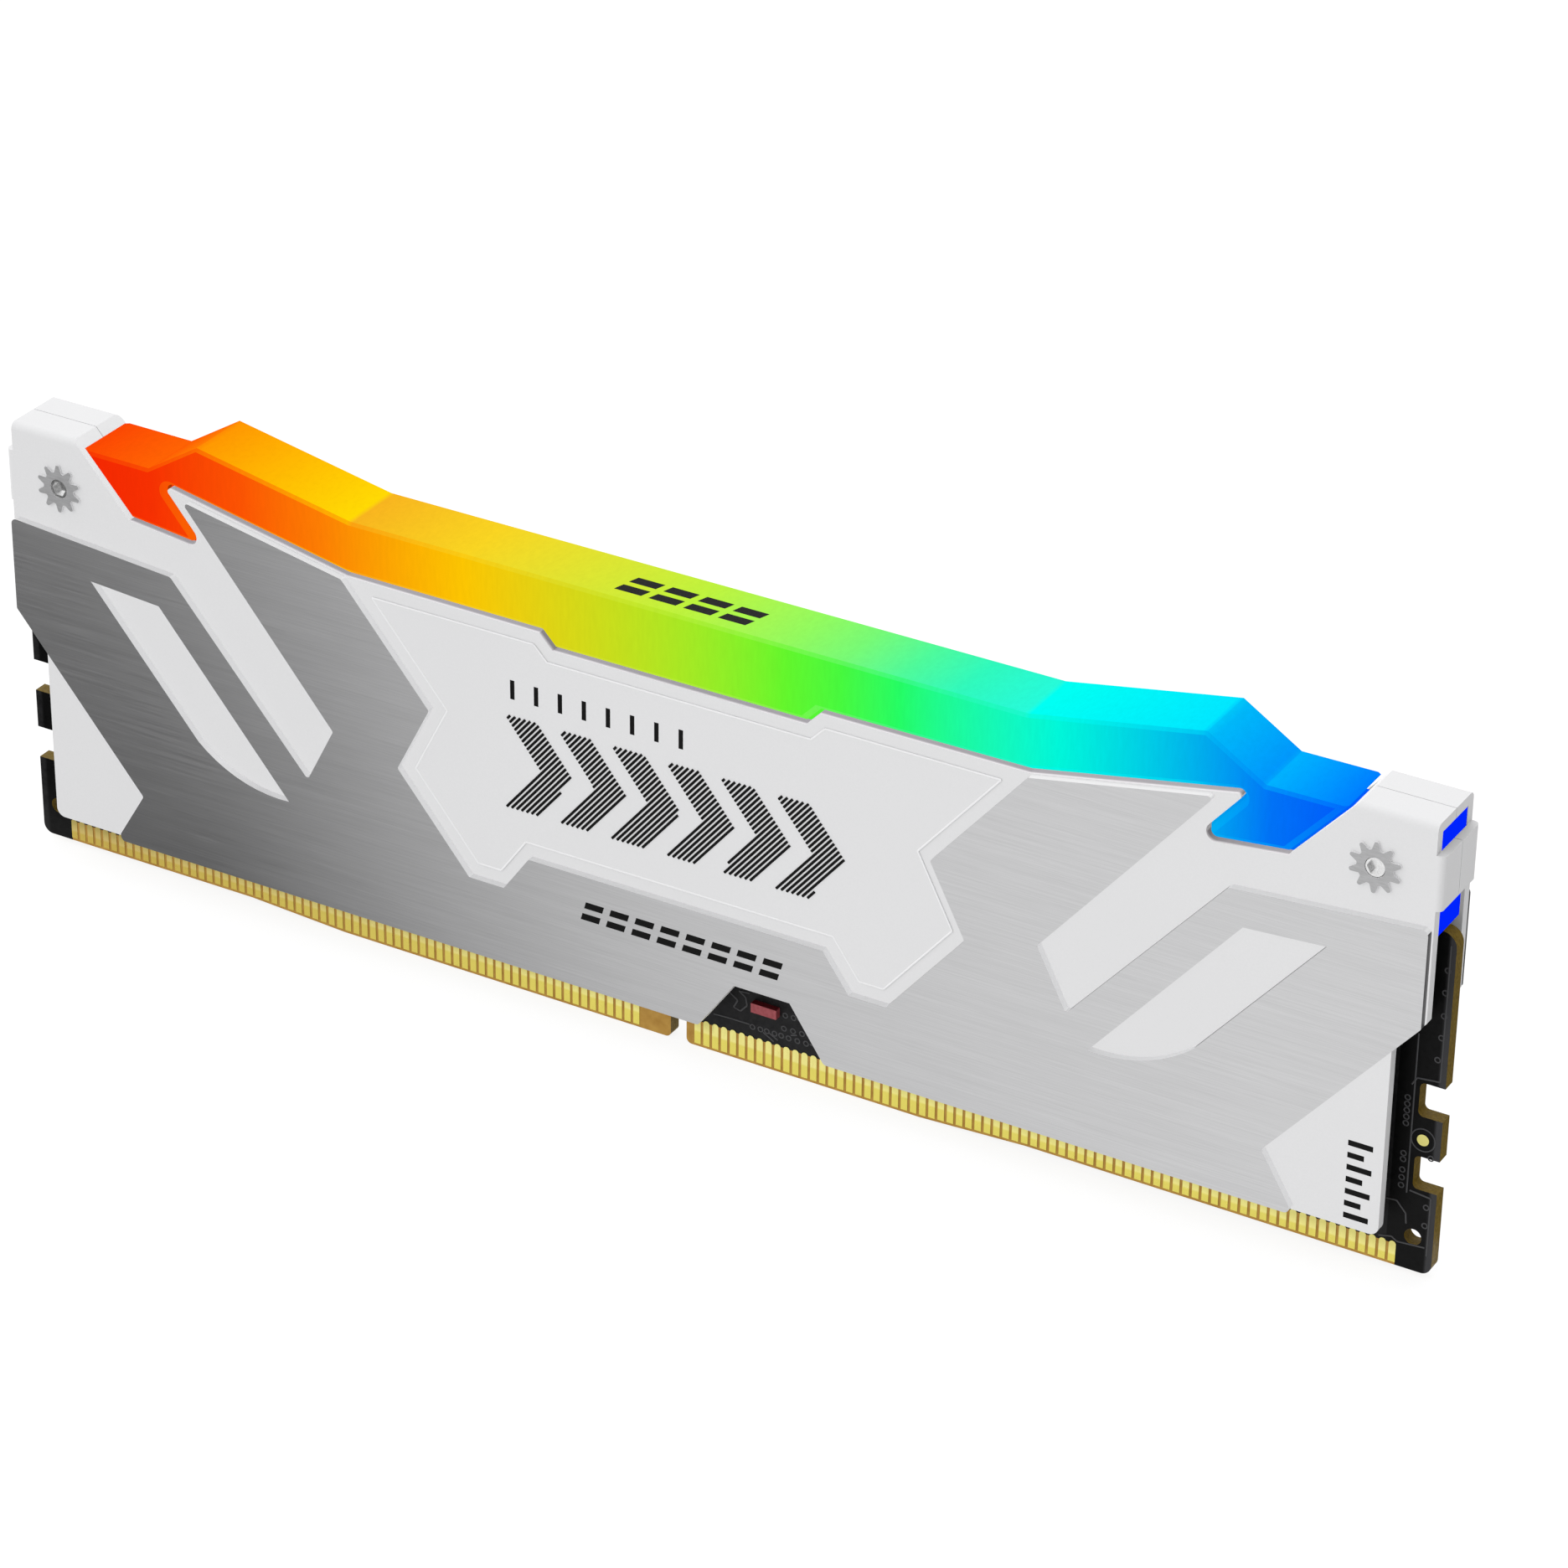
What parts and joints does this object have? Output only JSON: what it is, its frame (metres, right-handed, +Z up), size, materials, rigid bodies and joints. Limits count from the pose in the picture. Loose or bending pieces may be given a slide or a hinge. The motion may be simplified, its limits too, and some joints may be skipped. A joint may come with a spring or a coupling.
{
  "type": "memory module",
  "caption": "Memory module with white folded heat spreaders, brushed metal plates, gear-shaped washers at the top corners and a glowing rainbow light bar along the top.",
  "frame": {"origin": "middle of the board's contact edge, half way through the board's thickness", "axes": "+X along the board, +Y through its thickness towards the back face, +Z up to the light bar; the face with the sensor window looks along -Y"},
  "size_m": [0.1334, 0.0076, 0.044],
  "materials": {
    "board": "black solder mask over glass-fibre laminate",
    "contact_gold": "gold-plated contact pads",
    "white_sheet": "white painted aluminium sheet, satin",
    "brushed_plate": "brushed along the length",
    "diffuser": "translucent acrylic lit from inside, red to blue along its length",
    "guide": "translucent core glowing blue at its ends",
    "thermal_pad": "soft silicone pad",
    "washer_steel": "brushed gear-shaped washer",
    "screw_steel": "bright hexagon-socket screw",
    "standoff_brass": "turned",
    "chip_black": "moulded package",
    "sensor_red": "translucent dark red",
    "ferrite": "moulded ferrite",
    "led_white": "clear-topped light-emitting diode",
    "capacitor_tan": "ceramic body",
    "resistor_black": "printed body"
  },
  "bodies": {
    "root": {"pcb": "board", "light_bar": "diffuser", "light_guide": "guide", "contacts_front": "contact_gold", "contacts_back": "contact_gold", "front_spreader": "white_sheet", "back_spreader": "white_sheet", "front_plate": "brushed_plate", "back_plate": "brushed_plate", "thermal_pad_front": "thermal_pad", "thermal_pad_back": "thermal_pad", "washer_front_left": "washer_steel", "screw_front_left": "screw_steel", "washer_front_right": "washer_steel", "screw_front_right": "screw_steel", "washer_back_left": "washer_steel", "screw_back_left": "screw_steel", "washer_back_right": "washer_steel", "screw_back_right": "screw_steel", "standoff_left": "standoff_brass", "standoff_right": "standoff_brass", "dram_1": "chip_black", "dram_2": "chip_black", "dram_3": "chip_black", "dram_4": "chip_black", "dram_5": "chip_black", "dram_6": "chip_black", "dram_7": "chip_black", "dram_8": "chip_black", "pmic": "chip_black", "spd_hub": "chip_black", "rgb_controller": "chip_black", "ir_sensor": "sensor_red", "inductors": "ferrite", "leds": "led_white", "capacitors": "capacitor_tan", "resistors": "resistor_black", "fiducial": "contact_gold"}
  },
  "joints": []
}
